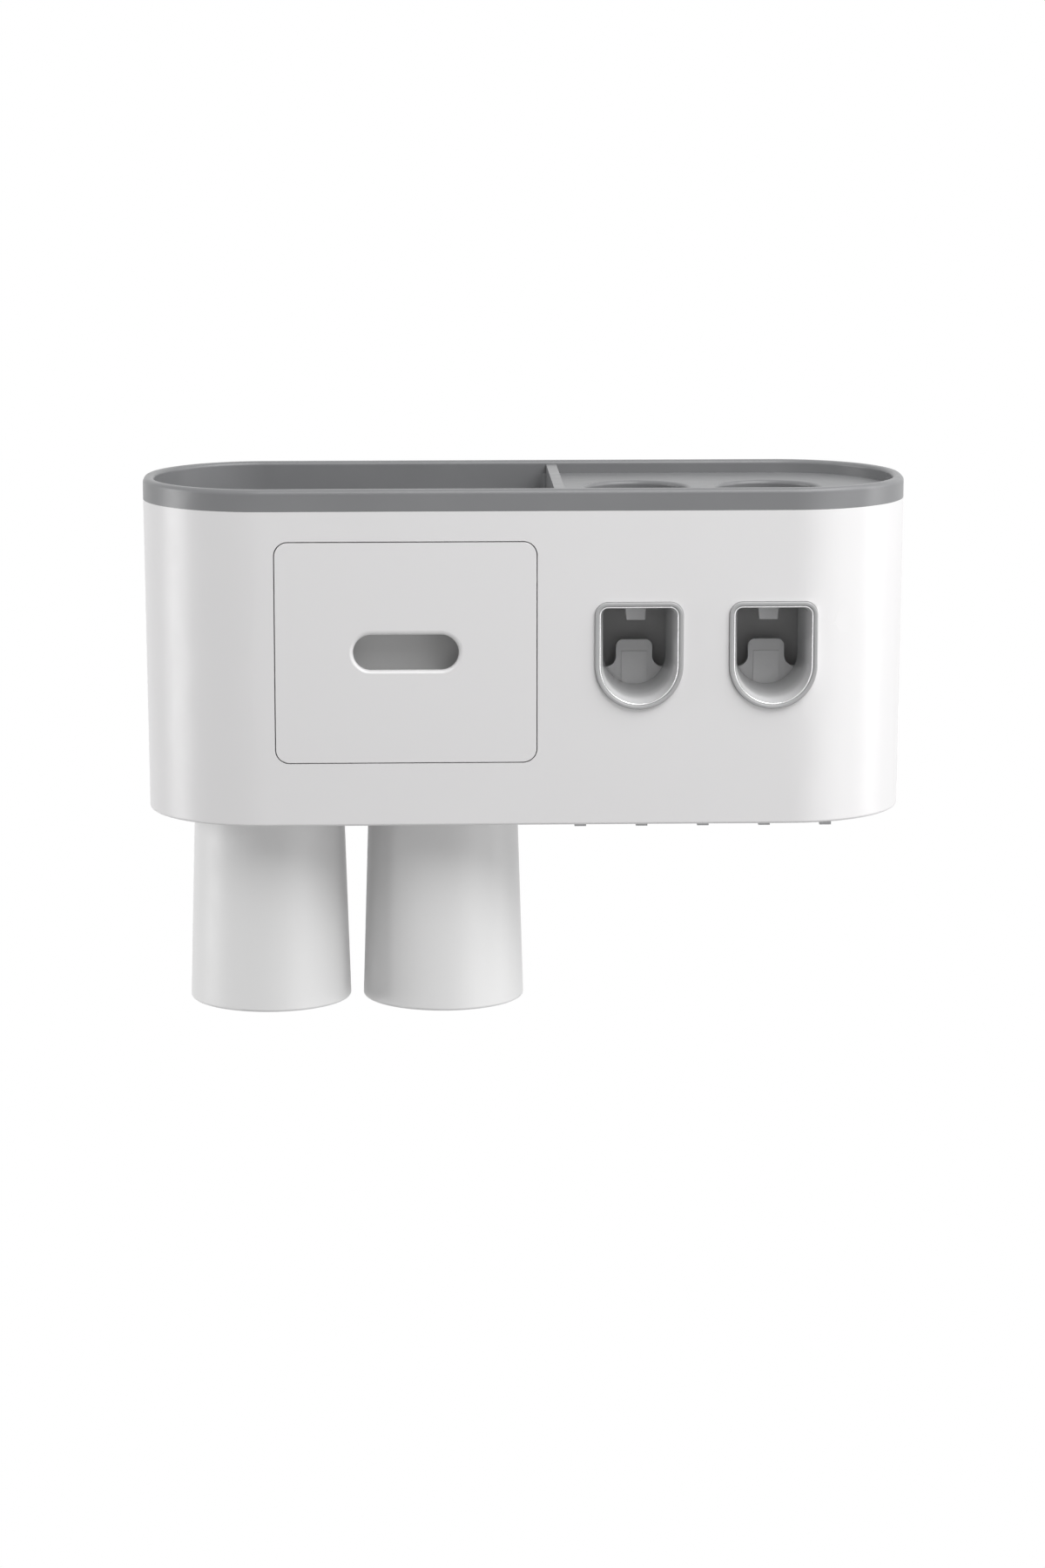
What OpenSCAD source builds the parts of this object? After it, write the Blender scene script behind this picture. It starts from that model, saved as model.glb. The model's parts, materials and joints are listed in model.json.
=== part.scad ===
// Wall-hung toothbrush holder with two push-to-squeeze toothpaste dispensers, a small drawer,
// a lift-off top tray, five toothbrush slots and two cups that hang rim down from magnets.
// Origin: centre of the adhesive's back face, on the wall. +Z up, +Y into the wall.

/* [Housing] */
// Width of the housing at the seam under the tray
body_w = 290; // [284:1:310]
// Depth of the housing, front to back
body_d = 98; // [97:1:108]
// Flat part of each end, between its two rounded corners
end_flat = 6; // [3:0.5:12]
// Height of the white shell, foot to seam
shell_h = 119; // [117:1:130]
// Wall thickness of the shell
shell_wall = 2.5; // [2:0.1:2.8]
// How far each wall leans in from seam to foot
shell_draft = 0.95; // [0.5:0.05:1.1]
// Rounding of the shell's bottom edge
foot_round = 1; // [0.5:0.1:1.2]
// Distance of the housing's back from the wall
wall_gap = 4; // [4:0.5:8]

/* [Tray] */
// Height of the grey band that the tray shows above the seam
rim_h = 8.2; // [7.5:0.1:10]
// Width of the tray's rim
rim_w = 4.2; // [4:0.1:5.5]
// Rounding of the rim's outer edge
rim_round_out = 1.9; // [1:0.1:2.2]
// Rounding of the rim's inner edge
rim_round_in = 1.5; // [0.8:0.1:1.8]
// Depth of the left compartment below the rim
left_depth = 16; // [12:0.5:16]
// Depth of the right shelf below the rim
shelf_depth = 5; // [4.5:0.5:6]
// Thickness of the tray's floors
tray_floor = 2.5; // [2.2:0.1:2.8]
// Middle of the divider, as a share of the housing's width
divider_x_share = 0.0424; // [0.04:0.0005:0.05]
// Thickness of the divider
divider_w = 4; // [3:0.25:5]
// Diameter of the toothpaste tubes' holes, as a share of the distance between the dispensers
tube_hole_share = 0.774; // [0.7:0.002:0.8]
// Rounding of the tube holes' lips
hole_round = 1.6; // [0.8:0.1:2]
// Length of the collar under each tube hole
collar_h = 8; // [5:0.5:9]

/* [Drawer] */
// Width of the drawer front, as a share of the housing's width
drawer_w_share = 0.3366; // [0.31:0.0002:0.34]
// Height of the drawer front, as a share of the shell's height
drawer_h_share = 0.6983; // [0.67:0.0005:0.705]
// Middle of the drawer front, as a share of the housing's width
drawer_x_share = -0.1574; // [-0.162:0.0002:-0.156]
// Distance from the seam down to the drawer front's top edge
drawer_drop = 11.6; // [11:0.1:13]
// Corner radius of the drawer front
drawer_corner = 5; // [4:0.5:6]
// Thickness of the drawer front
front_t = 3.2; // [2.8:0.1:3.6]
// Gap all round the drawer front
drawer_gap = 0.4; // [0.3:0.05:0.7]
// Length of the pull slot, as a share of the drawer front's width
slot_share = 0.405; // [0.36:0.005:0.46]
// Height of the pull slot
slot_h = 13.4; // [12:0.1:16]
// Rounding of the pull slot's edge
slot_round = 1.6; // [0.8:0.1:2]
// Depth of the finger pocket behind the slot
pocket_depth = 12; // [10:0.5:16]
// Room behind the drawer bin, up to the housing's back
bin_back_room = 18.8; // [18:0.2:30]
// Outside height of the drawer bin, as a share of the drawer front's height
bin_h_share = 0.746; // [0.55:0.002:0.79]
// Wall thickness of the drawer bin
bin_wall = 1.8; // [1.4:0.1:2.4]

/* [Dispensers] */
// Middle between the two dispenser windows, as a share of the housing's width
window_mid_share = 0.2301; // [0.228:0.0001:0.232]
// Distance between the windows' middles, as a share of the housing's width
window_pitch_share = 0.1738; // [0.172:0.0002:0.18]
// Width of a window's bezel, as a share of the housing's width
window_w_share = 0.1141; // [0.112:0.0001:0.118]
// Height of a window's bezel
window_h = 40.5; // [38:0.1:43]
// Distance from the seam down to a bezel's top edge
window_drop = 34.4; // [32:0.1:36]
// Radius of a bezel's top corners
window_corner = 5; // [4.95:0.05:6]
// Width of the bezel's flat ring
bezel_w = 1.5; // [1.3:0.1:1.8]
// Width of the flared mouth inside that ring
mouth_w = 1.7; // [1.4:0.1:2]
// Depth of the flared mouth
mouth_depth = 6; // [4:0.2:8]
// How far the bezel stands out of the shell
bezel_proud = 1; // [0.6:0.1:1.4]
// Depth of the bezel's tapered throat
throat_depth = 31; // [26:0.2:31.4]
// How much the throat closes in at its back, per side
throat_taper = 1.45; // [1:0.05:1.8]
// Thickness of the push lever
lever_t = 2.2; // [1.8:0.1:2.6]
// How far each tube hole lies to the right of its window's middle
tube_shift = 1.6; // [0:0.1:2]
// Radius of the lever's hinge pin
pin_r = 1.25; // [1:0.05:1.5]
// Inner radius of the socket that takes a toothpaste tube's neck
socket_r = 6.5; // [5.5:0.1:6.6]
// Depth of that socket
socket_depth = 10; // [8:0.5:12]

/* [Brush rack] */
// Number of toothbrush slots
brush_count = 5; // [3:1:5]
// Distance between toothbrush slots, as a share of the housing's width
brush_pitch_share = 0.0821; // [0.076:0.0002:0.083]
// Middle toothbrush slot, as a share of the housing's width
brush_x_share = 0.24; // [0.236:0.0005:0.243]
// Width of a toothbrush slot
brush_slot_w = 6; // [5:0.1:8]
// Length of a toothbrush slot, as a share of the housing's depth
brush_slot_share = 0.2143; // [0.17:0.002:0.24]
// Width of the neck rest behind each slot
rest_w = 4.5; // [3:0.1:6]
// Thickness of a neck rest
rest_t = 3; // [2:0.1:4]
// How far a neck rest hangs below the shell's foot
rest_drop = 10; // [6:0.1:14]

/* [Cups] */
// Middle between the two cups, as a share of the housing's width
cup_mid_share = -0.2234; // [-0.227:0.0002:-0.221]
// Distance between the cups' middles, as a share of the housing's width
cup_pitch_share = 0.231; // [0.227:0.0005:0.234]
// Radius of a cup's rim, as a share of the housing's width
cup_rim_share = 0.1071; // [0.1:0.0005:0.11]
// Radius of a cup's closed end, as a share of the housing's width
cup_base_share = 0.0993; // [0.09:0.0005:0.1]
// Height of a cup
cup_h = 77; // [60:0.2:90]
// Wall thickness of a cup
cup_wall = 2; // [1.5:0.1:2.5]
// Radius of the magnets in the base
magnet_r = 12; // [8:0.5:14]
// Thickness of the magnets
magnet_t = 4; // [3:0.25:5]

/* [Wall plate] */
// Width of the wall plate
plate_w = 150; // [150:1:180]
// Height of the wall plate
plate_h = 62; // [56:1:80]
// Thickness of the adhesive sheet
adhesive_t = 1; // [0.6:0.1:1.5]
// Distance of each hook from the middle
hook_x = 60; // [50:1:60]
// Width of a hook
hook_w = 18; // [12:0.5:22]
// Thickness of a hook's arm
arm_t = 4; // [3:0.25:5]
// How far a hook's lip rises behind the shell's back
lip_h = 8; // [7.8:0.1:9]

/* [Hidden] */
$fn = 72;

// Overrun of every cut past the face that it leaves
cut = 1;
// Clearance between pieces that drop in or slide past each other
fit = 0.3;
// Clearance between pieces that snap or screw together
snug = 0.1;
// Running clearance of a bore on its pin
running = 0.05;

// Widths and places across the front, and depths behind it
corner_r = (body_d - end_flat) / 2;
divider_x = divider_x_share * body_w;
drawer_w = drawer_w_share * body_w;
drawer_x = drawer_x_share * body_w;
drawer_h = drawer_h_share * shell_h;
bin_h = bin_h_share * drawer_h;
slot_w = slot_share * drawer_w;
bin_l = body_d - front_t - bin_back_room;
window_mid_x = window_mid_share * body_w;
window_pitch = window_pitch_share * body_w;
window_w = window_w_share * body_w;
tube_hole_d = tube_hole_share * window_pitch;
brush_pitch = brush_pitch_share * body_w;
brush_x = brush_x_share * body_w;
brush_slot_l = brush_slot_share * body_d;
cup_mid_x = cup_mid_share * body_w;
cup_pitch = cup_pitch_share * body_w;
cup_rim_r = cup_rim_share * body_w;
cup_base_r = cup_base_share * body_w;

// Main levels
foot_z = -(shell_h + rim_h) / 2;
seam_z = foot_z + shell_h;
top_z = seam_z + rim_h;
back_y = -wall_gap;
mid_y = back_y - body_d / 2;
front_y = back_y - body_d;

// Base plate and its screws
base_recess = 1.2;
base_t = 2.5;
base_z = foot_z + base_recess;
base_top = base_z + base_t;
base_inset = shell_wall + shell_draft + fit;
screw_r = 1.4;
screw_head_r = 2.9;
screw_head_t = 1.2;
screw_l = 10;
boss_r = 3.5;
boss_h = 12;
boss_bite = 0.6;
boss_inset = shell_wall + shell_draft + boss_r - boss_bite;
boss_gap_share = 0.0207;
boss_gap_x = boss_gap_share * body_w;
boss_front_y = front_y + boss_inset;
boss_back_y = back_y - boss_inset;
base_boss_places = [[cup_mid_x, boss_front_y], [cup_mid_x, boss_back_y],
    [boss_gap_x, boss_front_y], [boss_gap_x, boss_back_y], [brush_x, boss_back_y],
    [boss_inset - body_w / 2, mid_y], [body_w / 2 - boss_inset, mid_y]];

// Toothbrush bay and rack
bay_margin = 12;
bay_rim = 2.6;
bay_corner = 6;
bay_x0 = brush_x - (brush_count - 1) / 2 * brush_pitch - bay_margin;
bay_x1 = brush_x + (brush_count - 1) / 2 * brush_pitch + bay_margin;
entry_share = 0.204;
entry_gap = entry_share * body_d;
bay_front_y = front_y + base_inset + bay_rim;
rack_t = 2;
rack_top = base_top + rack_t;
rack_front_y = bay_front_y + entry_gap;
rack_land_share = 0.143;
rack_land = rack_land_share * body_d;
slot_end_y = rack_front_y + brush_slot_l;
rest_y = slot_end_y + rest_t;
bay_back_y = rest_y + 2 * rest_t + bay_corner;
rack_back_y = bay_back_y + rack_land;
rack_overlap = 4;
mouth_flare = 1.5;
rack_screw_r = 1.1;
rack_screw_head_r = 2.4;
rack_screw_head_t = 1.4;
rack_screw_floor = 0.8;

// Cup docks
dock_skirt = 1.2;
dock_skirt_t = 1.5;
dock_gap = 0.7;
magnet_floor = 1;
magnet_wall = 2;
cup_end_t = 4.5;
cup_end_round = 2.5;
cup_inner_round = 4;
disc_r = 17.5;
disc_t = 1.4;
cap_t = 1.6;

// Drawer
drawer_z = seam_z - drawer_drop - drawer_h / 2;
drawer_z0 = drawer_z - drawer_h / 2;
pocket_reach = 4;
pocket_wall = 1.6;
bin_inset_share = 0.3;
bin_inset = bin_inset_share * drawer_corner;
bin_corner = 3;
bin_x0 = drawer_x - drawer_w / 2 + bin_inset;
bin_x1 = drawer_x + drawer_w / 2 - bin_inset;
bin_z0 = drawer_z0 + bin_inset;
bin_front_y = front_y + front_t;
runner_h = 0.7;
runner_w = 4;
guide_t = 1.8;
guide_side_gap = 0.4;
guide_lip = 3;
guide_floor_z = bin_z0 - fit - runner_h;
guide_bottom_z = guide_floor_z - guide_t;
guide_front_y = front_y + shell_wall + shell_draft + fit;
guide_back_gap = 0.5;
guide_back_y = bin_front_y + bin_l + guide_back_gap;
leg_r = 3.5;
leg_inset = 8;

// Tray
shelf_top = top_z - shelf_depth;
tub_floor_z = top_z - left_depth;
tub_inset = shell_wall + fit + snug;
divider_l = divider_x - divider_w / 2;
divider_r = divider_x + divider_w / 2;
pocket_corner = 3;
collar_t = 1.8;
skirt_h = 5;

// Dispensers
body_wall = 2;
window_z = seam_z - window_drop - window_h / 2;
window_gap = 0.15;
band_edge = 0.35;
groove_w = 0.35;
groove_d = 0.5;
module_edge_x = window_mid_x + window_pitch / 2 + window_w / 2 + body_wall;
edge_past_corner = max(0, module_edge_x - body_w / 2 + corner_r);
inner_corner_r = corner_r - shell_wall;
wall_fall = inner_corner_r - sqrt(inner_corner_r * inner_corner_r
    - edge_past_corner * edge_past_corner);
flange_back = shell_wall + shell_draft + wall_fall + fit;
tube_step = 1;
lever_gap = 0.9;
lever_z = -throat_depth - lever_gap;
lever_margin = 1.1;
lever_half_w = window_w / 2 - bezel_w - mouth_w - throat_taper + lever_margin;
round_z = window_z - window_h / 2 + window_w / 2;
tab_half_w = 6.9;
tab_top = 5.1;
tab_corner = 2.6;
shoulder_drop = 5.4;
shoulder_fillet = 4;
panel_w = 9.8;
panel_margin = 4.4;
panel_h = 12.6;
panel_raise = 0.5;
pin_back = 3;
pin_y = front_y - lever_z + lever_t + pin_back;
pin_drop_share = 0.2992;
pin_drop = pin_drop_share * window_w;
pin_z = round_z - pin_drop;
pin_bite = 1.2;
body_bore_r = window_w / 2 - tube_step + snug;
pin_half_l = sqrt(body_bore_r * body_bore_r - pin_drop * pin_drop) + pin_bite;
ear_x_share = 0.1813;
ear_x = ear_x_share * window_w;
ear_t = 2.4;
ear_r = 2.6;
lever_room = 0.5;
body_back = -lever_z + lever_t + 2 * pin_back + lever_room;
nub_r = 2.2;
nub_rise = 0.9;
nub_z = round_z + nub_rise;
nub_end = body_back + body_wall + cut;
nub_window_w = 7;
nub_window_h = 6.8;
nub_window_fall = 0.8;
spring_r = 1.9;
spring_wire = 0.3;
spring_turns = 5;
spring_pin_gap = 1.15;
spring_drop = pin_drop - pin_r - spring_r - spring_pin_gap;
spring_z = round_z - spring_drop;
bulb_r = 5.5;
bulb_flange_r = 6.6;
bulb_flange_t = 1.2;
chamber_l = 8;
chamber_wall = 2.2;
riser_d = 6.4;
chamber_back = body_back + body_wall + chamber_l;
channel_w = 12;
channel_h = 8.4;
channel_r = 2;
channel_z = window_z + window_h / 2 + tube_step + channel_h / 2;
riser_w = 8;
tower_r = 10.5;
tower_h = 16;
tower_wall = 2.3;
valve_seat = 4;
tower_top = channel_z + tower_h;
tower_bore_r = tower_r - tower_wall;
valve_seat_z = channel_z + valve_seat;
valve_t = 1.2;
valve_slit = 0.8;
valve_r = tower_bore_r - snug;
port_r = 2.5;
socket_flange_t = 1.5;
nozzle_y = 25.4;
nozzle_l = 6;
nozzle_w = 8.4;
nozzle_tip_w = 7.2;
nozzle_drop = 10;
nozzle_seat = 1.2;
nozzle_bore_r = 1.5;
nozzle_tip_z = window_z + window_h / 2 - nozzle_drop;
nozzle_root_z = window_z + window_h / 2 - bezel_w - mouth_w;
nozzle_top_z = channel_z - channel_h / 2 + nozzle_seat;
window_space = window_pitch - window_w;
pump_boss_shares = [0.168, 0.254];
pump_boss_r = window_space * pump_boss_shares[0];
pump_boss_out = window_space * pump_boss_shares[1];
pump_boss_x = window_w / 2 + pump_boss_out;
pump_boss_up = 11;
pump_boss_down = 4.6;
pump_boss_back = 10.5;
ear_plate_t = 2;
ear_plate_share = 0.19;
ear_plate_r = window_space * ear_plate_share;
pump_screw_r = 1.1;
pump_screw_head_r = 2.2;
pump_screw_head_t = 1.4;
pump_screw_l = 8;
pump_boss_places = [[-pump_boss_x, pump_boss_up], [pump_boss_x, pump_boss_up],
    [0, -window_h / 2 - pump_boss_down]];

// Wall plate
plate_corner = 6;
plate_t = wall_gap - adhesive_t - fit;
hook_z = 25;
lip_t = 2.5;
hook_side_gap = 0.5;
hook_play = 1.5;
hook_slot_h = arm_t + lip_h + hook_play;

white = "#ececed";
tray_grey = "#838487";
light_grey = "#b3b4b6";
dark_grey = "#47484a";

// Sweeps its child round a corner: the child lies beside the edge, inside it where x is negative
module edge_arc(r, start, turn) {
    rotate([0, 0, start]) rotate_extrude(angle = turn) translate([r, 0]) children();
}

// Sweeps its child along a straight edge
module edge_run(run) {
    rotate([90, 0, 0]) linear_extrude(run, center = true) children();
}

// Sweeps its child round a rectangle with rounded corners
module rounded_loop(w, d, r) {
    for (corner = [[1, 1, 0], [-1, 1, 90], [-1, -1, 180], [1, -1, 270]])
        translate([corner[0] * (w / 2 - r), corner[1] * (d / 2 - r), 0])
            edge_arc(r, corner[2], 90) children();
    for (turn = [0, 180]) {
        if (d > 2 * r)
            rotate([0, 0, turn]) translate([w / 2, 0, 0]) edge_run(d - 2 * r) children();
        if (w > 2 * r)
            rotate([0, 0, turn + 90]) translate([d / 2, 0, 0]) edge_run(w - 2 * r) children();
    }
}

// Sweeps its child round a window's D shape: flat top, round foot
module d_loop(w, h, r) {
    translate([0, (w - h) / 2, 0]) edge_arc(w / 2, 180, 180) children();
    for (turn = [0, 180])
        translate([cos(turn) * w / 2, (w / 2 - r) / 2, 0]) rotate([0, 0, turn])
            edge_run(h - w / 2 - r) children();
    for (side = [0, 1])
        translate([(1 - 2 * side) * (w / 2 - r), h / 2 - r, 0])
            edge_arc(r, side * 90, 90) children();
    translate([0, h / 2, 0]) rotate([0, 0, 90]) edge_run(w - 2 * r) children();
}

module rounded_rect(w, d, r) {
    square([w - 2 * r, d], center = true);
    if (d > 2 * r) square([w, d - 2 * r], center = true);
    for (x = [-1, 1], y = [-1, 1])
        translate([x * (w / 2 - r), y * (d / 2 - r)]) circle(r);
}

module d_shape(w, h, r) {
    translate([0, (w - h) / 2]) circle(w / 2);
    translate([-w / 2, (w - h) / 2]) square([w, h - w / 2 - r]);
    translate([r - w / 2, h / 2 - r - snug]) square([w - 2 * r, r + snug]);
    for (x = [-1, 1]) translate([x * (w / 2 - r), h / 2 - r]) circle(r);
}

// The housing's plan at the seam, drawn in by inset
module plan_shape(inset) {
    translate([0, mid_y])
        rounded_rect(body_w - 2 * inset, body_d - 2 * inset, corner_r - inset);
}

module plan_block(inset, z0, z1) {
    translate([0, 0, z0]) linear_extrude(z1 - z0) plan_shape(inset);
}

// Places its children on the housing's front: x right, y up, z out towards the viewer
module on_front(x, z) {
    translate([x, front_y, z]) rotate([90, 0, 0]) children();
}

module outer_profile() {
    polygon([[-corner_r, foot_z], [-shell_draft - foot_round, foot_z],
        [-shell_draft - foot_round, foot_z + foot_round], [-shell_draft, foot_z + foot_round],
        [0, seam_z], [-corner_r, seam_z]]);
    translate([-shell_draft - foot_round, foot_z + foot_round]) circle(foot_round);
}

module inner_profile() {
    polygon([[-corner_r, foot_z - cut], [-shell_wall - shell_draft, foot_z - cut],
        [-shell_wall - shell_draft, foot_z], [-shell_wall, seam_z],
        [-shell_wall, seam_z + cut], [-corner_r, seam_z + cut]]);
}

module housing_form() {
    translate([0, mid_y, 0]) {
        rounded_loop(body_w, body_d, corner_r) outer_profile();
        translate([corner_r - body_w / 2, corner_r - body_d / 2, foot_z])
            cube([body_w - 2 * corner_r, body_d - 2 * corner_r, shell_h]);
    }
}

module housing_hollow() {
    translate([0, mid_y, 0]) {
        rounded_loop(body_w, body_d, corner_r) inner_profile();
        translate([corner_r - body_w / 2, corner_r - body_d / 2, foot_z - cut])
            cube([body_w - 2 * corner_r, body_d - 2 * corner_r, shell_h + 2 * cut]);
    }
}

// How far the housing's outer wall has leaned in at a height
function draft_at(z) = shell_draft * (seam_z - z) / shell_h;
function module_x(side) = window_mid_x + side * window_pitch / 2;
function tube_x(side) = module_x(side) + tube_shift;
function cup_x(side) = cup_mid_x + side * cup_pitch / 2;
function brush_place(i) = brush_x + (i - (brush_count - 1) / 2) * brush_pitch;

// Wall side

module hook() {
    wall_back = wall_gap + shell_wall + draft_at(hook_z - arm_t - lip_h);
    arm_l = wall_back - adhesive_t + fit + lip_t;
    translate([-hook_w / 2, -adhesive_t - arm_l, hook_z - arm_t]) cube([hook_w, arm_l, arm_t]);
    translate([-hook_w / 2, -adhesive_t - arm_l, hook_z - arm_t])
        cube([hook_w, lip_t, arm_t + lip_h]);
}

module wall_plate() {
    color(light_grey) {
        translate([0, -adhesive_t, 0]) rotate([90, 0, 0]) linear_extrude(plate_t)
            rounded_rect(plate_w, plate_h, plate_corner);
        for (side = [-1, 1]) translate([side * hook_x, 0, 0]) hook();
    }
}

module adhesive_sheet() {
    color("#d9dcdf") rotate([90, 0, 0]) linear_extrude(adhesive_t)
        rounded_rect(plate_w, plate_h, plate_corner);
}

// Housing

module base_boss() {
    translate([0, 0, base_top]) cylinder(h = boss_h, r = boss_r);
}

module pump_bosses(side) {
    for (place = pump_boss_places)
        on_front(module_x(side) + place[0], window_z + place[1])
            translate([0, 0, -pump_boss_back])
                cylinder(h = pump_boss_back, r = pump_boss_r);
}

module shell() {
    color(white) difference() {
        union() {
            difference() {
                housing_form();
                housing_hollow();
            }
            for (place = base_boss_places) translate([place[0], place[1], 0]) base_boss();
            intersection() {
                housing_form();
                for (side = [-1, 1]) pump_bosses(side);
            }
        }
        on_front(drawer_x, drawer_z) translate([0, 0, -shell_wall - shell_draft - cut])
            linear_extrude(shell_wall + shell_draft + 2 * cut)
                rounded_rect(drawer_w + 2 * drawer_gap, drawer_h + 2 * drawer_gap,
                    drawer_corner + drawer_gap);
        for (side = [-1, 1]) {
            on_front(module_x(side), window_z) translate([0, 0, -flange_back - cut])
                linear_extrude(flange_back + 2 * cut)
                    d_shape(window_w + 2 * window_gap, window_h + 2 * window_gap,
                        window_corner + window_gap);
            for (place = pump_boss_places)
                on_front(module_x(side) + place[0], window_z + place[1])
                    translate([0, 0, -pump_boss_back - cut])
                        cylinder(h = pump_screw_l - ear_plate_t + cut, r = pump_screw_r + snug);
            translate([side * hook_x - hook_w / 2 - hook_side_gap, back_y - shell_wall
                - shell_draft - cut, hook_z - hook_slot_h])
                cube([hook_w + 2 * hook_side_gap, shell_wall + shell_draft + 2 * cut,
                    hook_slot_h]);
        }
        for (place = base_boss_places) translate([place[0], place[1], base_top - cut])
            cylinder(h = screw_l - base_t + 2 * cut, r = screw_r + snug);
    }
}

module bay_shape() {
    intersection() {
        plan_shape(base_inset + bay_rim);
        translate([(bay_x0 + bay_x1) / 2, (bay_front_y + bay_back_y) / 2])
            rounded_rect(bay_x1 - bay_x0, bay_back_y - bay_front_y, bay_corner);
    }
}

module base_plate() {
    color(white) difference() {
        union() {
            plan_block(base_inset, base_z, base_top);
            for (side = [-1, 1]) translate([cup_x(side), mid_y, 0]) {
                translate([0, 0, base_z - dock_skirt]) difference() {
                    cylinder(h = dock_skirt + snug, r = cup_base_r + dock_gap + dock_skirt_t);
                    translate([0, 0, -cut])
                        cylinder(h = dock_skirt + snug + 2 * cut, r = cup_base_r + dock_gap);
                }
                translate([0, 0, base_z])
                    cylinder(h = magnet_floor + magnet_t, r = magnet_r + magnet_wall);
            }
        }
        for (side = [-1, 1]) translate([cup_x(side), mid_y, base_z + magnet_floor])
            cylinder(h = magnet_t + cut, r = magnet_r + snug);
        translate([0, 0, base_z - cut]) linear_extrude(base_t + 2 * cut) bay_shape();
        for (place = base_boss_places) translate([place[0], place[1], base_z - cut]) {
            cylinder(h = base_t + 2 * cut, r = screw_r + snug);
            cylinder(h = screw_head_t + snug + cut, r = screw_head_r + snug);
        }
        for (place = rack_screw_places())
            translate([place[0], place[1], base_z + rack_screw_floor])
                cylinder(h = base_t, r = rack_screw_r + snug);
    }
}

module base_screws() {
    color("silver") for (place = base_boss_places)
        translate([place[0], place[1], base_z + snug]) {
            cylinder(h = screw_head_t, r = screw_head_r);
            cylinder(h = screw_l, r = screw_r);
        }
}

function rack_screw_places() = [for (i = [0, (brush_count - 1) / 2, brush_count - 1])
    [brush_place(i), (bay_back_y + rack_back_y) / 2]];

module brush_slot() {
    translate([0, slot_end_y - brush_slot_w / 2]) circle(brush_slot_w / 2);
    translate([-brush_slot_w / 2, rack_front_y - cut])
        square([brush_slot_w, brush_slot_l - brush_slot_w / 2 + cut]);
    polygon([[-brush_slot_w / 2 - mouth_flare - cut, rack_front_y - cut],
        [brush_slot_w / 2 + mouth_flare + cut, rack_front_y - cut],
        [brush_slot_w / 2, rack_front_y + mouth_flare],
        [-brush_slot_w / 2, rack_front_y + mouth_flare]]);
}

module brush_rack() {
    color(light_grey) difference() {
        union() {
            translate([0, 0, base_top]) linear_extrude(rack_t) difference() {
                intersection() {
                    plan_shape(base_inset + fit);
                    translate([bay_x0 - rack_overlap, rack_front_y])
                        square([bay_x1 - bay_x0 + 2 * rack_overlap,
                            rack_back_y - rack_front_y]);
                }
                for (i = [0 : brush_count - 1]) translate([brush_place(i), 0]) brush_slot();
            }
            for (i = [0 : brush_count - 1])
                translate([brush_place(i) - rest_w / 2, rest_y - rest_t / 2, foot_z - rest_drop])
                    cube([rest_w, rest_t, base_top + rack_t / 2 - foot_z + rest_drop]);
        }
        for (place = rack_screw_places()) translate([place[0], place[1], base_top - cut])
            cylinder(h = rack_t + 2 * cut, r = rack_screw_r + snug);
    }
}

module rack_screws() {
    color("silver") for (place = rack_screw_places()) translate([place[0], place[1], 0]) {
        translate([0, 0, rack_top]) cylinder(h = rack_screw_head_t, r = rack_screw_head_r);
        translate([0, 0, base_z + rack_screw_floor])
            cylinder(h = rack_top - base_z - rack_screw_floor + snug, r = rack_screw_r);
    }
}

module drawer_guide() {
    x0 = bin_x0 - guide_side_gap - guide_t;
    x1 = bin_x1 + guide_side_gap + guide_t;
    wall_top = bin_z0 + bin_h + fit + guide_t;
    run = guide_back_y - guide_front_y;
    color(light_grey) {
        translate([x0, guide_front_y, guide_bottom_z]) cube([x1 - x0, run, guide_t]);
        translate([x0, guide_back_y, guide_bottom_z])
            cube([x1 - x0, guide_t, wall_top - guide_bottom_z]);
        for (x = [x0, x1 - guide_t]) translate([x, guide_front_y, guide_bottom_z])
            cube([guide_t, run + guide_t, wall_top - guide_bottom_z]);
        for (x = [x0, x1 - guide_t - guide_lip]) translate([x, guide_front_y, wall_top - guide_t])
            cube([guide_t + guide_lip, run + guide_t, guide_t]);
        for (x = [bin_x0 + leg_inset, bin_x1 - leg_inset]) {
            translate([x - runner_w / 2, guide_front_y, guide_floor_z - snug])
                cube([runner_w, run, runner_h + snug]);
            for (y = [guide_front_y + leg_inset, guide_back_y - leg_inset])
                translate([x, y, base_top])
                    cylinder(h = guide_bottom_z - base_top + snug, r = leg_r);
        }
    }
}

module dock_magnets() {
    color("#9a9ca0") for (side = [-1, 1])
        translate([cup_x(side), mid_y, base_z + magnet_floor])
            cylinder(h = magnet_t, r = magnet_r);
}

// Top tray

module rim_profile() {
    polygon([[-rim_w, seam_z], [0, seam_z], [0, top_z - rim_round_out],
        [-rim_round_out, top_z - rim_round_out], [-rim_round_out, top_z],
        [rim_round_in - rim_w, top_z], [rim_round_in - rim_w, top_z - rim_round_in],
        [-rim_w, top_z - rim_round_in]]);
    translate([-rim_round_out, top_z - rim_round_out]) circle(rim_round_out);
    translate([rim_round_in - rim_w, top_z - rim_round_in]) circle(rim_round_in);
}

// Half of a plan: the part beyond an upright line, to the left or to the right
module beyond(x, side, inset, r) {
    w = body_w / 2 - inset + side * -x;
    intersection() {
        plan_shape(inset);
        translate([x + side * w / 2, mid_y]) rounded_rect(w, body_d - 2 * inset, r);
    }
}

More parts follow.
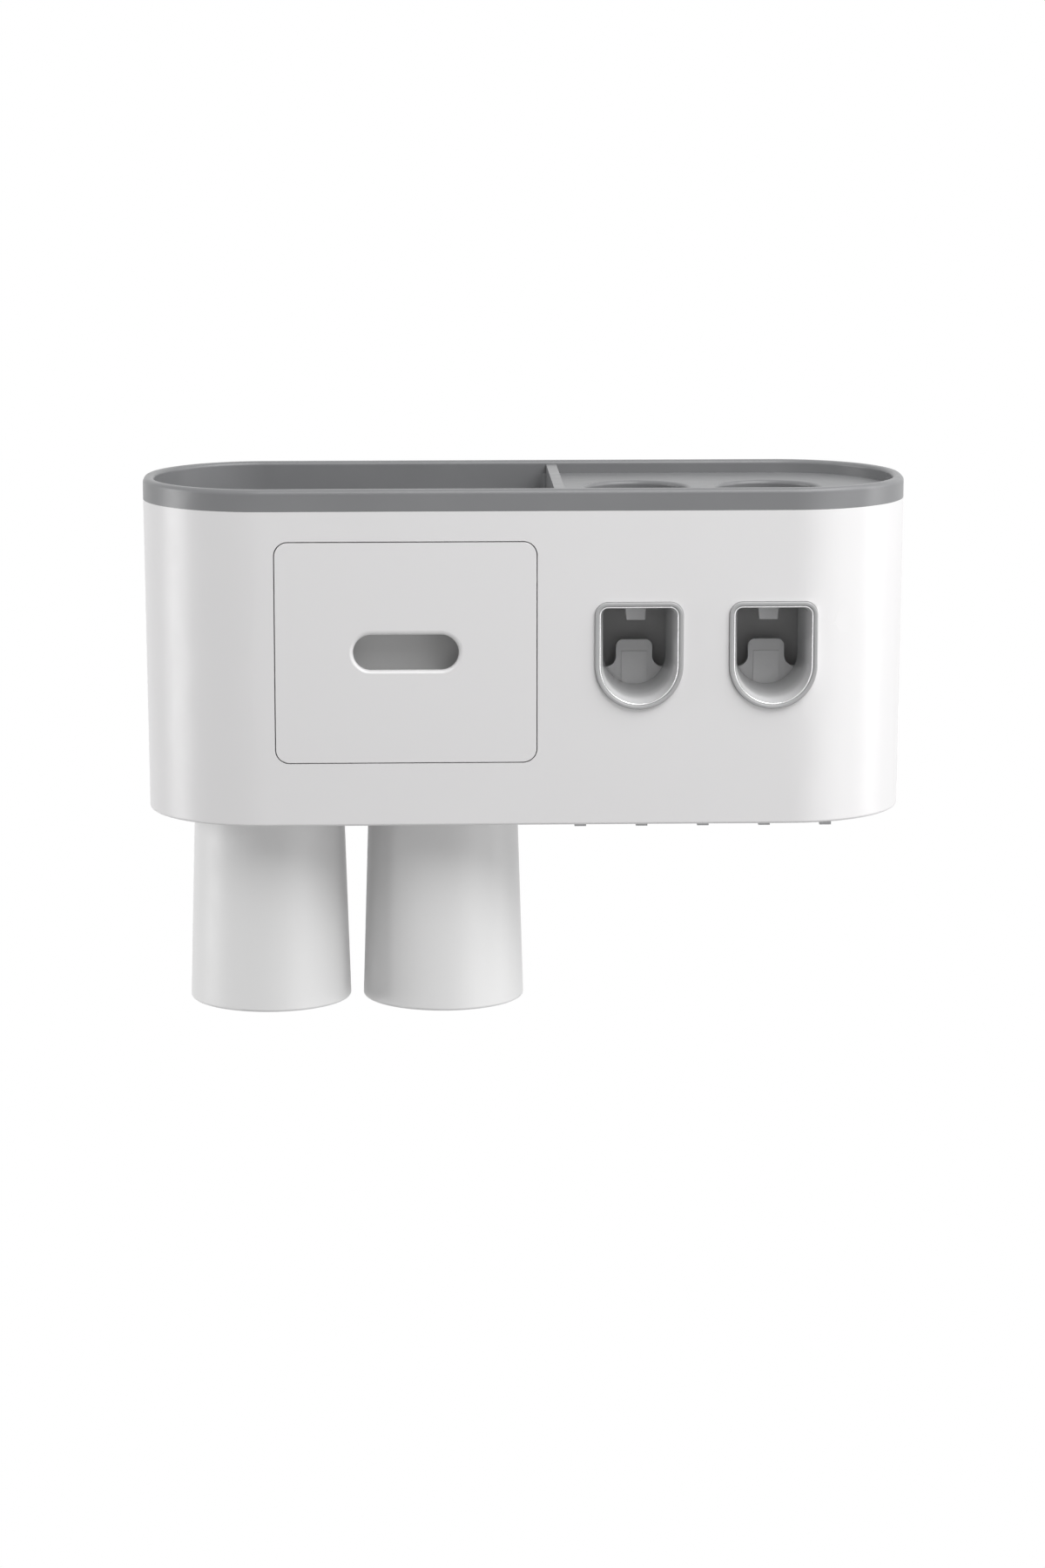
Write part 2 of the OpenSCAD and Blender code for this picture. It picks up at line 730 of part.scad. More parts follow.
module tray() {
    tub_back = tub_inset;
    color(tray_grey) difference() {
        union() {
            translate([0, mid_y, 0]) rounded_loop(body_w, body_d, corner_r) rim_profile();
            translate([0, 0, tub_floor_z - tray_floor])
                linear_extrude(seam_z - tub_floor_z + tray_floor)
                    beyond(divider_r, -1, tub_inset, pocket_corner);
            translate([0, 0, seam_z]) linear_extrude(top_z - rim_round_in - seam_z)
                intersection() {
                    plan_shape(rim_w - rim_round_in / 2);
                    translate([divider_l, front_y]) square([divider_w, body_d]);
                }
            translate([0, 0, seam_z - skirt_h]) linear_extrude(skirt_h)
                beyond(divider_l, 1, tub_inset, pocket_corner);
            plan_block(rim_w - rim_round_in / 2, seam_z - snug, shelf_top);
            for (side = [-1, 1])
                translate([tube_x(side), mid_y, shelf_top - tray_floor - collar_h])
                    cylinder(h = collar_h + tray_floor, r = tube_hole_d / 2 + collar_t);
        }
        translate([0, 0, tub_floor_z]) linear_extrude(left_depth + cut)
            beyond(divider_l, -1, rim_w, pocket_corner);
        translate([0, 0, seam_z - skirt_h - cut])
            linear_extrude(shelf_top - tray_floor - seam_z + skirt_h + cut) difference() {
                beyond(divider_r, 1, rim_w, pocket_corner);
                for (side = [-1, 1])
                    translate([tube_x(side), mid_y]) circle(tube_hole_d / 2 + collar_t);
            }
        for (side = [-1, 1]) translate([tube_x(side), mid_y, 0]) {
            translate([0, 0, tub_floor_z - cut])
                cylinder(h = shelf_top - tub_floor_z + 2 * cut, r = tube_hole_d / 2);
            rotate_extrude() difference() {
                translate([tube_hole_d / 2 - cut, shelf_top - hole_round])
                    square([hole_round + cut, hole_round + cut]);
                translate([tube_hole_d / 2 + hole_round, shelf_top - hole_round])
                    circle(hole_round);
            }
        }
    }
}

// Drawer

module slot_shape(grow) {
    rounded_rect(slot_w + 2 * grow, slot_h + 2 * grow, slot_h / 2 + grow);
}

module drawer_front() {
    color(white) difference() {
        union() {
            intersection() {
                housing_form();
                on_front(drawer_x, drawer_z) translate([0, 0, -front_t])
                    linear_extrude(front_t + cut)
                        rounded_rect(drawer_w, drawer_h, drawer_corner);
            }
            on_front(drawer_x, drawer_z) translate([0, 0, -front_t - pocket_depth])
                linear_extrude(pocket_depth + snug) slot_shape(pocket_reach + pocket_wall);
        }
        on_front(drawer_x, drawer_z) {
            translate([0, 0, -front_t - cut]) linear_extrude(front_t + 2 * cut) slot_shape(0);
            translate([0, 0, pocket_wall - front_t - pocket_depth])
                linear_extrude(pocket_depth - pocket_wall) slot_shape(pocket_reach);
            rounded_loop(slot_w + 2 * slot_round, slot_h + 2 * slot_round,
                slot_h / 2 + slot_round) slot_edge();
        }
    }
}

// What is cut off the pull slot's edge to round it
module slot_edge() {
    sink = shell_draft * (seam_z - drawer_z) / shell_h;
    difference() {
        translate([-slot_round - snug, -sink - slot_round])
            square([slot_round + snug, slot_round + cut]);
        translate([0, -sink - slot_round]) circle(slot_round);
    }
}

module drawer_bin() {
    bin_w = bin_x1 - bin_x0;
    color(white) difference() {
        translate([drawer_x, bin_front_y + bin_l / 2, bin_z0]) difference() {
            linear_extrude(bin_h) rounded_rect(bin_w, bin_l, bin_corner);
            translate([0, 0, bin_wall]) linear_extrude(bin_h)
                rounded_rect(bin_w - 2 * bin_wall, bin_l - 2 * bin_wall, bin_corner - bin_wall);
        }
        on_front(drawer_x, drawer_z) translate([0, 0, -front_t - bin_wall - cut])
            linear_extrude(bin_wall + 2 * cut) slot_shape(pocket_reach + pocket_wall + snug);
    }
}

// Cups

module cup_outer_profile() {
    rim_round = cup_wall / 2;
    polygon([[0, rim_round], [cup_rim_r, rim_round], [cup_base_r, cup_h - cup_end_round],
        [cup_base_r - cup_end_round, cup_h - cup_end_round],
        [cup_base_r - cup_end_round, cup_h], [0, cup_h]]);
    translate([cup_rim_r - rim_round, rim_round]) circle(rim_round);
    translate([cup_base_r - cup_end_round, cup_h - cup_end_round]) circle(cup_end_round);
}

module cup_inner_profile() {
    top = cup_h - cup_end_t;
    r = cup_base_r - cup_wall;
    polygon([[0, -cut], [cup_rim_r - cup_wall, -cut], [cup_rim_r - cup_wall, cup_wall / 2],
        [r, top - cup_inner_round], [r - cup_inner_round, top - cup_inner_round],
        [r - cup_inner_round, top], [0, top]]);
    translate([r - cup_inner_round, top - cup_inner_round]) circle(cup_inner_round);
}

module at_cup(side, z) {
    translate([cup_x(side), mid_y, base_z - cup_h + z]) children();
}

module cup(side) {
    color(white) at_cup(side, 0) difference() {
        rotate_extrude() difference() {
            cup_outer_profile();
            cup_inner_profile();
        }
        translate([0, 0, cup_h - cap_t - disc_t]) cylinder(h = cap_t + disc_t + cut, r = disc_r);
    }
}

module cup_disc(side) {
    color("#a7a9ac") at_cup(side, cup_h - cap_t - disc_t) cylinder(h = disc_t, r = disc_r - snug);
}

module cup_cap(side) {
    color(tray_grey) at_cup(side, cup_h - cap_t) cylinder(h = cap_t, r = disc_r - snug);
}

// Toothpaste dispensers

module bezel_profile() {
    mouth_x = -bezel_w - mouth_w;
    polygon([[0, -flange_back], [0, bezel_proud - band_edge], [-band_edge, bezel_proud],
        [band_edge - bezel_w, bezel_proud], [-bezel_w, bezel_proud - band_edge],
        [-bezel_w, -groove_d], [-bezel_w - groove_w, -groove_d], [-bezel_w - groove_w, 0],
        [mouth_x, -mouth_depth], [mouth_x - throat_taper, -throat_depth],
        [-tube_step, -throat_depth], [-tube_step, -flange_back]]);
}

module bezel(side) {
    color("#a9abad") difference() {
        on_front(module_x(side), window_z) d_loop(window_w, window_h, window_corner)
            bezel_profile();
        translate([module_x(side) - nozzle_w / 2 - fit, front_y + nozzle_y - nozzle_l / 2 - fit,
            round_z])
            cube([nozzle_w + 2 * fit, throat_depth, window_h]);
    }
}

module pump_ear(place) {
    turn = place[0] == 0 ? 90 : 90 + 90 * sign(place[0]);
    translate([place[0], place[1], -pump_boss_back - ear_plate_t]) rotate([0, 0, turn])
        linear_extrude(ear_plate_t) {
            circle(ear_plate_r);
            translate([0, -ear_plate_r]) square([pump_boss_down, 2 * ear_plate_r]);
        }
}

module pump_body(side) {
    grow = body_wall - tube_step + snug;
    color(dark_grey) difference() {
        union() {
            on_front(module_x(side), window_z) {
                translate([0, 0, -body_back - body_wall])
                    linear_extrude(body_back + body_wall - flange_back - snug)
                        d_shape(window_w + 2 * grow, window_h + 2 * grow, window_corner + grow);
                for (place = pump_boss_places) pump_ear(place);
            }
            translate([module_x(side), front_y, 0]) {
                translate([-bulb_flange_r - chamber_wall, body_back + snug,
                    nub_z - bulb_flange_r - chamber_wall])
                    cube([2 * bulb_flange_r + 2 * chamber_wall,
                        chamber_back - body_back + chamber_wall - snug,
                        2 * bulb_flange_r + 2 * chamber_wall]);
                translate([-riser_w / 2, chamber_back - chamber_wall, nub_z - riser_w / 2])
                    cube([riser_w, riser_d + chamber_wall, channel_z - nub_z + riser_w / 2]);
                translate([-channel_w / 2, nozzle_y - nozzle_l, channel_z - channel_h / 2 - snug])
                    cube([channel_w, chamber_back + riser_d - nozzle_y + nozzle_l,
                        channel_h + snug]);
                translate([tube_shift, body_d / 2, channel_z - channel_h / 2])
                    cylinder(h = tower_top - channel_z + channel_h / 2, r = tower_r);
            }
        }
        on_front(module_x(side), window_z) {
            translate([0, 0, -body_back]) linear_extrude(body_back)
                d_shape(window_w - 2 * tube_step + 2 * snug, window_h - 2 * tube_step + 2 * snug,
                    window_corner - tube_step + snug);
            for (place = pump_boss_places)
                translate([place[0], place[1], -pump_boss_back - ear_plate_t - cut])
                    cylinder(h = ear_plate_t + 2 * cut, r = pump_screw_r + snug);
        }
        translate([module_x(side), front_y, 0]) {
            translate([-nub_window_w / 2, body_back - cut,
                nub_z - nub_window_h / 2 - nub_window_fall])
                cube([nub_window_w, body_wall + 2 * cut, nub_window_h]);
            translate([0, body_back + body_wall, nub_z]) rotate([-90, 0, 0])
                cylinder(h = chamber_l, r = bulb_flange_r + snug);
            translate([0, chamber_back - cut, nub_z]) rotate([-90, 0, 0])
                cylinder(h = riser_d / 2 + cut, r = channel_r);
            translate([0, chamber_back + riser_d / 2, nub_z])
                cylinder(h = channel_z - nub_z, r = channel_r);
            translate([0, nozzle_y - nozzle_bore_r, channel_z]) rotate([-90, 0, 0])
                cylinder(h = chamber_back + riser_d / 2 - nozzle_y + nozzle_bore_r, r = channel_r);
            translate([0, nozzle_y, nozzle_top_z - cut])
                cylinder(h = channel_z - nozzle_top_z + cut, r = nozzle_bore_r);
            translate([-nozzle_w / 2 - snug, nozzle_y - nozzle_l / 2 - snug, round_z])
                cube([nozzle_w + 2 * snug, nozzle_l + 2 * snug, nozzle_top_z + snug - round_z]);
            translate([tube_shift, body_d / 2, 0]) {
                translate([0, 0, channel_z]) cylinder(h = tower_h, r = channel_r);
                translate([0, 0, valve_seat_z]) cylinder(h = tower_h, r = tower_bore_r);
            }
        }
        translate([module_x(side), pin_y, pin_z]) rotate([0, 90, 0])
            cylinder(h = 2 * pin_half_l, r = pin_r, center = true);
    }
}

module tube_socket(side) {
    color(light_grey) translate([tube_x(side), mid_y, 0]) difference() {
        union() {
            translate([0, 0, valve_seat_z + valve_t])
                cylinder(h = tower_top - valve_seat_z - valve_t, r = tower_bore_r - snug);
            translate([0, 0, tower_top]) cylinder(h = socket_flange_t, r = tower_r);
        }
        translate([0, 0, tower_top + socket_flange_t - socket_depth])
            cylinder(h = socket_depth + cut, r = socket_r);
        translate([0, 0, valve_seat_z]) cylinder(h = tower_top - valve_seat_z, r = port_r);
    }
}

module check_valve(side) {
    color("#d8d9da") translate([tube_x(side), mid_y, valve_seat_z]) linear_extrude(valve_t)
        difference() {
            circle(valve_r);
            difference() {
                circle(port_r + valve_slit);
                circle(port_r);
                translate([0, -port_r - valve_slit])
                    square([port_r + valve_slit, 2 * port_r + 2 * valve_slit]);
            }
        }
}

module pump_bulb(side) {
    bulb_l = chamber_back - nub_end - fit;
    color("#dcdcdc") translate([module_x(side), front_y + nub_end + fit, nub_z])
        rotate([-90, 0, 0]) rotate_extrude() difference() {
            union() {
                square([bulb_r - bulb_flange_t, bulb_l]);
                translate([0, bulb_flange_t]) square([bulb_r, bulb_l - bulb_flange_t]);
                translate([bulb_r - bulb_flange_t, bulb_flange_t]) circle(bulb_flange_t);
                translate([0, bulb_l - bulb_flange_t]) square([bulb_flange_r, bulb_flange_t]);
            }
            translate([0, bulb_flange_t]) square([bulb_r - bulb_flange_t, bulb_l]);
        }
}

module nozzle(side) {
    color("#8f9193") translate([module_x(side), front_y + nozzle_y, 0]) difference() {
        rotate([90, 0, 0]) linear_extrude(nozzle_l, center = true)
            polygon([[-nozzle_w / 2, nozzle_top_z], [-nozzle_w / 2, nozzle_root_z],
                [-nozzle_tip_w / 2, nozzle_tip_z], [nozzle_tip_w / 2, nozzle_tip_z],
                [nozzle_w / 2, nozzle_root_z], [nozzle_w / 2, nozzle_top_z]]);
        translate([0, 0, nozzle_tip_z - cut])
            cylinder(h = channel_z - nozzle_tip_z + 2 * cut, r = nozzle_bore_r);
    }
}

// Front outline of the push lever: a tab on a round-footed apron
module lever_shape() {
    foot = round_z - window_z;
    shoulder = foot - shoulder_drop;
    intersection() {
        translate([0, foot]) circle(lever_half_w);
        translate([-lever_half_w, foot - lever_half_w])
            square([2 * lever_half_w, lever_half_w - shoulder_drop]);
    }
    translate([-tab_half_w, shoulder - snug])
        square([2 * tab_half_w, tab_top - tab_corner + shoulder_drop + snug]);
    translate([tab_corner - tab_half_w, shoulder])
        square([2 * tab_half_w - 2 * tab_corner, tab_top + shoulder_drop]);
    for (x = [-1, 1]) {
        translate([x * (tab_half_w - tab_corner), foot + tab_top - tab_corner])
            circle(tab_corner);
        intersection() {
            difference() {
                translate([x * (tab_half_w + shoulder_fillet / 2 - snug), shoulder
                    + shoulder_fillet / 2 - snug])
                    square(shoulder_fillet + 2 * snug, center = true);
                translate([x * (tab_half_w + shoulder_fillet), shoulder + shoulder_fillet])
                    circle(shoulder_fillet);
            }
            translate([0, foot]) circle(lever_half_w);
        }
    }
}

module pusher(side) {
    color("#96989a") difference() {
        union() {
            on_front(module_x(side), window_z) {
                translate([0, 0, lever_z - lever_t]) linear_extrude(lever_t) lever_shape();
                translate([-panel_w / 2, round_z - window_z + tab_top - panel_margin - panel_h,
                    lever_z - snug])
                    cube([panel_w, panel_h, panel_raise + snug]);
            }
            for (x = [-1, 1]) translate([module_x(side) + x * ear_x, pin_y, pin_z])
                rotate([0, 90, 0]) cylinder(h = ear_t, r = ear_r, center = true);
            for (x = [-1, 1]) translate([module_x(side) + x * ear_x - ear_t / 2,
                pin_y - pin_back - snug, pin_z - ear_r / 2])
                cube([ear_t, pin_back + snug, ear_r * 3 / 2]);
            translate([module_x(side), front_y - lever_z + lever_t / 2, nub_z])
                rotate([-90, 0, 0])
                    cylinder(h = nub_end + lever_z - lever_t / 2, r = nub_r);
        }
        translate([module_x(side), pin_y, pin_z]) rotate([0, 90, 0])
            cylinder(h = window_w, r = pin_r + running, center = true);
    }
}

module pusher_pin(side) {
    color("silver") translate([module_x(side), pin_y, pin_z]) rotate([0, 90, 0])
        cylinder(h = 2 * pin_half_l, r = pin_r, center = true);
}

// Coil spring: rings of points along a helix, skinned into one tube
spring_sides = 6;
spring_steps = 8;
function spring_point(turn, k, run) = let (a = 360 * turn, b = 360 * k / spring_sides,
    r = spring_r + spring_wire * cos(b))
    [r * cos(a), r * sin(a), spring_wire + (run - 2 * spring_wire) * turn / spring_turns
        + spring_wire * sin(b)];

module coil_spring(run) {
    rings = spring_turns * spring_steps;
    points = [for (i = [0 : rings], k = [0 : spring_sides - 1])
        spring_point(i / spring_steps, k, run)];
    skin = [for (i = [0 : rings - 1], k = [0 : spring_sides - 1])
        let (a = i * spring_sides + k, b = i * spring_sides + (k + 1) % spring_sides)
        each [[a, a + spring_sides, b], [b, a + spring_sides, b + spring_sides]]];
    first = [for (k = [1 : spring_sides - 2]) [0, k, k + 1]];
    last = [for (k = [1 : spring_sides - 2])
        [rings * spring_sides, rings * spring_sides + k + 1, rings * spring_sides + k]];
    polyhedron(points, concat(skin, first, last));
}

module pusher_spring(side) {
    color("silver") translate([module_x(side), front_y - lever_z + lever_t + snug, spring_z])
        rotate([-90, 0, 0]) coil_spring(body_back + lever_z - lever_t - 2 * snug);
}

module pump_screws(side) {
    color("silver") for (place = pump_boss_places)
        on_front(module_x(side) + place[0], window_z + place[1])
            translate([0, 0, -pump_boss_back - ear_plate_t]) {
                cylinder(h = pump_screw_l - snug, r = pump_screw_r);
                translate([0, 0, -pump_screw_head_t])
                    cylinder(h = pump_screw_head_t, r = pump_screw_head_r);
            }
}

wall_plate();
adhesive_sheet();
shell();
base_plate();
base_screws();
brush_rack();
rack_screws();
drawer_guide();
dock_magnets();
tray();
drawer_front();
drawer_bin();
cup(-1);  // cup_left
cup_disc(-1);  // cup_left_disc
cup_cap(-1);  // cup_left_cap
cup(1);  // cup_right
cup_disc(1);  // cup_right_disc
cup_cap(1);  // cup_right_cap
bezel(-1);  // bezel_left
pump_body(-1);  // pump_body_left
tube_socket(-1);  // tube_socket_left
check_valve(-1);  // check_valve_left
pump_bulb(-1);  // pump_bulb_left
nozzle(-1);  // nozzle_left
pusher(-1);  // pusher_left
pusher_pin(-1);  // pusher_pin_left
pusher_spring(-1);  // pusher_spring_left
pump_screws(-1);  // pump_screws_left
bezel(1);  // bezel_right
pump_body(1);  // pump_body_right
tube_socket(1);  // tube_socket_right
check_valve(1);  // check_valve_right
pump_bulb(1);  // pump_bulb_right
nozzle(1);  // nozzle_right
pusher(1);  // pusher_right
pusher_pin(1);  // pusher_pin_right
pusher_spring(1);  // pusher_spring_right
pump_screws(1);  // pump_screws_right
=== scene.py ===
import json
import math

import bmesh
import bpy
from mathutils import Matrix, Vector

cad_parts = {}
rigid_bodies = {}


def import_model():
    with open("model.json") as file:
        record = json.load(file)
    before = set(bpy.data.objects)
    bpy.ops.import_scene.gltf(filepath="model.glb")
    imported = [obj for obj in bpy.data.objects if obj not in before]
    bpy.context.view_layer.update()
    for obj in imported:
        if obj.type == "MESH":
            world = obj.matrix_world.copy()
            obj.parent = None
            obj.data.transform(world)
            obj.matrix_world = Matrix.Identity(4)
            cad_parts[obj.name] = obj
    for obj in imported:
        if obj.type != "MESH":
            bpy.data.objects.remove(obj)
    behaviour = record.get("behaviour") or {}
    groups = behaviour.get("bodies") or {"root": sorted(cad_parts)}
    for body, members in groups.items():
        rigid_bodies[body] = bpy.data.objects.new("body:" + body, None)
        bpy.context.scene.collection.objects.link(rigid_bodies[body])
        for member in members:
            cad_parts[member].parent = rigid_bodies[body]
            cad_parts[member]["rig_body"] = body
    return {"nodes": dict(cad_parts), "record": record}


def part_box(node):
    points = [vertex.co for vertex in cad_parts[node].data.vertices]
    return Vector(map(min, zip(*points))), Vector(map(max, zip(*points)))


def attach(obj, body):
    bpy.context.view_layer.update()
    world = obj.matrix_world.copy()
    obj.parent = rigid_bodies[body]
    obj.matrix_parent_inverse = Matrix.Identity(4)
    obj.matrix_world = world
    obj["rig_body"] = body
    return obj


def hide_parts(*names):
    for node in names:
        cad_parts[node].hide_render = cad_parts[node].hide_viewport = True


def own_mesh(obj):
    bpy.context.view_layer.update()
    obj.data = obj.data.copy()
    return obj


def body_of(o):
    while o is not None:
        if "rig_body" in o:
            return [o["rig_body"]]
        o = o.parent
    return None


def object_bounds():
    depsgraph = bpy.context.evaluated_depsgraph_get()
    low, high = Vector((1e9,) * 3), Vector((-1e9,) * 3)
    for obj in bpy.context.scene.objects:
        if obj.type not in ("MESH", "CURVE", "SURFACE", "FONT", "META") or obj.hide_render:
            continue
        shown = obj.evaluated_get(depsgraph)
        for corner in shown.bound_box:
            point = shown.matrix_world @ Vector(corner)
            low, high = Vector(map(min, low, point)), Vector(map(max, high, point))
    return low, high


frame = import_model()
cad_low, cad_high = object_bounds()
nodes = frame["nodes"]
SLOT_OF = {part["node"]: part["material_slot"] for part in frame["record"]["subparts"]}
SIDES = ("left", "right")

# Millimetres to metres
MM = 0.001
ACROSS = Vector((1, 0, 0))
INWARD = Vector((0, 1, 0))
UP = Vector((0, 0, 1))
# Points nearer to each other than this are one point
WELD_REACH = 0.001 * MM

# Camera, fitted to the photograph: place in metres, turns in radians, sensor and lens in millimetres
CAMERA_PLACE = (-0.05753, -1.73607, 0.25967)
CAMERA_PITCH = 0.1858
CAMERA_YAW = 0.0339
SENSOR = 36.0
LENS = 101.70

# Colours, as linear values
WHITE = (0.725, 0.718, 0.722)
CUP_WHITE = (0.75, 0.748, 0.748)
# The drawer's finger pocket: painted shade, darker than the front's own white
POCKET_PAINTED_SHADE = (0.57, 0.57, 0.57)
INNER_WHITE = (0.66, 0.66, 0.665)
TRAY_GREY = (0.187, 0.189, 0.194)
RACK_GREY = (0.56, 0.563, 0.57)
BEZEL_GREY = (0.37, 0.37, 0.374)
MOUTH_GREY = (0.68, 0.68, 0.685)
THROAT_GREY = (0.53, 0.53, 0.535)
LEVER_GREY = (0.66, 0.66, 0.665)
# The pump body: paler than its own dark grey, painted light that brightens its shaded chute behind the lever
PUMP_GREY_PAINTED_LIGHT = (0.50, 0.50, 0.503)
SILICONE = (0.60, 0.60, 0.61)
STEEL = (0.60, 0.60, 0.61)
BEAD_SILVER = (0.86, 0.86, 0.865)
FOAM = (0.68, 0.69, 0.70)

# Sizes of the blotches in colour and gloss, of the grain, and of silicone's pores and steel's marks
DRIFT_SIZE = 35 * MM
GLOSS_SIZE = 6 * MM
GRAIN_SIZE = 0.35 * MM
PORE_SIZE = 0.6 * MM
MARK_SIZE = 0.25 * MM
# Heights of the waves, grain, pores and marks
WAVE_HEIGHT = 0.1 * MM
GRAIN_HEIGHT = 0.01 * MM
PORE_HEIGHT = 0.05 * MM
MARK_HEIGHT = 0.02 * MM
# Strengths of the waves, pores, marks and a bezel's grain; other grains have their own
WAVE_BUMP = 0.08
PORE_BUMP = 0.3
MARK_BUMP = 0.2
BEZEL_GRAIN = 0.05
# Share by which a plastic's gloss drifts, and how much pores and marks change gloss
GLOSS_DRIFT = 0.08
PORE_GLOSS = 0.06
MARK_GLOSS = 0.08
# Shares of the colour that are left in pores and marks
PORE_SHADE = 0.94
MARK_SHADE = 0.85
PLASTIC_IOR = 1.49
# How much light goes into silicone and foam, and how far
SOFT_SHARE = 0.25
SOFT_REACH = 2 * MM

# Depth behind a bezel's front at which its ring ends and its mouth begins
RING_EDGE = 0.4 * MM
# Depths at which the polished mouth ends and the throat's own grey starts
MOUTH_END = 7 * MM
THROAT_START = 16 * MM
# Depth over which the ring's finish turns into the mouth's
RING_STEP = 0.2 * MM
RING_GLOSS = 0.36
MOUTH_GLOSS = 0.18
# The drawer's front face, and its thickness, as in the CAD; its slot's finger pocket lies behind that
DRAWER_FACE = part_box("drawer_front")[0][1]
FRONT_T = 3.2 * MM
# Depth over which the front's white turns into the pocket's painted shade
POCKET_SHADE_STEP = 1 * MM


def shader_nodes(name):
    """A new material with its node tree, its shader and its object coordinates."""
    material = bpy.data.materials.new(name)
    material.use_nodes = True
    tree = material.node_tree
    shader = tree.nodes["Principled BSDF"]
    place = tree.nodes.new("ShaderNodeTexCoord").outputs["Object"]
    return material, tree, shader, place


def noise(tree, place, size, detail=2.0):
    """A noise texture whose blotches are about size metres across."""
    texture = tree.nodes.new("ShaderNodeTexNoise")
    texture.inputs["Scale"].default_value = 1.0 / size
    texture.inputs["Detail"].default_value = detail
    tree.links.new(place, texture.inputs["Vector"])
    return texture.outputs["Fac"]


def spread(tree, value, low, high, start=0.3, end=0.7):
    """Maps start..end of a value to low..high; start and end default to a texture's middle range."""
    node = tree.nodes.new("ShaderNodeMapRange")
    node.inputs["From Min"].default_value = start
    node.inputs["From Max"].default_value = end
    node.inputs["To Min"].default_value = low
    node.inputs["To Max"].default_value = high
    tree.links.new(value, node.inputs["Value"])
    return node.outputs["Result"]


def ramp(tree, value, stops):
    """A colour for each value; stops are pairs of a value from 0 to 1 and a colour, in order."""
    node = tree.nodes.new("ShaderNodeValToRGB")
    marks = node.color_ramp.elements
    for k, (at, colour) in enumerate(stops):
        if k >= len(marks):
            marks.new(at)
        marks[k].position = at
        marks[k].color = (*colour, 1)
    tree.links.new(value, node.inputs["Fac"])
    return node.outputs["Color"]


def shaded(colour, share):
    """A colour times a share, and no lighter than white."""
    return tuple(min(1.0, part * share) for part in colour)


def tint(tree, value, low, high):
    """Mixes two colours by a texture."""
    return ramp(tree, value, ((0.35, low), (0.65, high)))


def along_y(tree, place):
    """The Y of each point, which grows from the part's front to its back."""
    parts = tree.nodes.new("ShaderNodeSeparateXYZ")
    tree.links.new(place, parts.inputs["Vector"])
    return parts.outputs["Y"]


def by_depth(tree, place, front, stops):
    """Colours by depth behind a front face; stops are pairs of a depth and a colour, deepest last."""
    deepest = stops[-1][0]
    share = spread(tree, along_y(tree, place), 0, 1, start=front, end=front + deepest)
    return ramp(tree, share, [(depth / deepest, colour) for depth, colour in stops])


def bump(tree, height, strength, distance, below=None):
    """A bumpy surface of a texture's height, on top of another bump where below is given."""
    node = tree.nodes.new("ShaderNodeBump")
    node.inputs["Strength"].default_value = strength
    node.inputs["Distance"].default_value = distance
    tree.links.new(height, node.inputs["Height"])
    if below is not None:
        tree.links.new(below, node.inputs["Normal"])
    return node.outputs["Normal"]


def plastic(name, colour, gloss, grain, drift=0.03, pocket=None):
    """Moulded plastic: slow colour drift, uneven gloss, slight waviness and a fine spark-eroded grain.

    Where a pocket's colour is given, it is painted shade: the colour darkens by depth behind the drawer's
    face instead."""
    material, tree, shader, place = shader_nodes(name)
    slow = noise(tree, place, DRIFT_SIZE)
    fine = noise(tree, place, GRAIN_SIZE, detail=3.0)
    if pocket:
        base = by_depth(tree, place, DRAWER_FACE, ((FRONT_T, colour), (FRONT_T + POCKET_SHADE_STEP, pocket)))
    else:
        base = tint(tree, slow, shaded(colour, 1 - drift), shaded(colour, 1 + drift))
    tree.links.new(base, shader.inputs["Base Color"])
    uneven = spread(tree, noise(tree, place, GLOSS_SIZE),
                    gloss * (1 - GLOSS_DRIFT), gloss * (1 + GLOSS_DRIFT))
    tree.links.new(uneven, shader.inputs["Roughness"])
    wave = bump(tree, slow, WAVE_BUMP, WAVE_HEIGHT)
    tree.links.new(bump(tree, fine, grain, GRAIN_HEIGHT, wave), shader.inputs["Normal"])
    shader.inputs["IOR"].default_value = PLASTIC_IOR
    return material


def bezel_plastic(name):
    """Satin grey on a bezel's flat ring, polished and paler in its mouth, darker down the throat."""
    material, tree, shader, place = shader_nodes(name)
    front = cad_low[1]
    mouth = RING_EDGE + RING_STEP
    stops = ((RING_EDGE, BEZEL_GREY), (mouth, MOUTH_GREY), (MOUTH_END, MOUTH_GREY),
             (THROAT_START, THROAT_GREY))
    tree.links.new(by_depth(tree, place, front, stops), shader.inputs["Base Color"])
    gloss = spread(tree, along_y(tree, place), RING_GLOSS, MOUTH_GLOSS,
                   start=front + RING_EDGE, end=front + mouth)
    tree.links.new(gloss, shader.inputs["Roughness"])
    fine = noise(tree, place, GRAIN_SIZE, detail=3.0)
    tree.links.new(bump(tree, fine, BEZEL_GRAIN, GRAIN_HEIGHT), shader.inputs["Normal"])
    shader.inputs["IOR"].default_value = PLASTIC_IOR
    return material


def rubbery(name, colour, gloss=0.55):
    """Silicone or foam: soft light inside it, fine pores."""
    material, tree, shader, place = shader_nodes(name)
    pores = noise(tree, place, PORE_SIZE, detail=4.0)
    tree.links.new(tint(tree, pores, shaded(colour, PORE_SHADE), colour), shader.inputs["Base Color"])
    tree.links.new(spread(tree, pores, gloss - PORE_GLOSS, gloss + PORE_GLOSS), shader.inputs["Roughness"])
    tree.links.new(bump(tree, pores, PORE_BUMP, PORE_HEIGHT), shader.inputs["Normal"])
    shader.inputs["Subsurface Weight"].default_value = SOFT_SHARE
    shader.inputs["Subsurface Radius"].default_value = (SOFT_REACH, SOFT_REACH, SOFT_REACH)
    return material


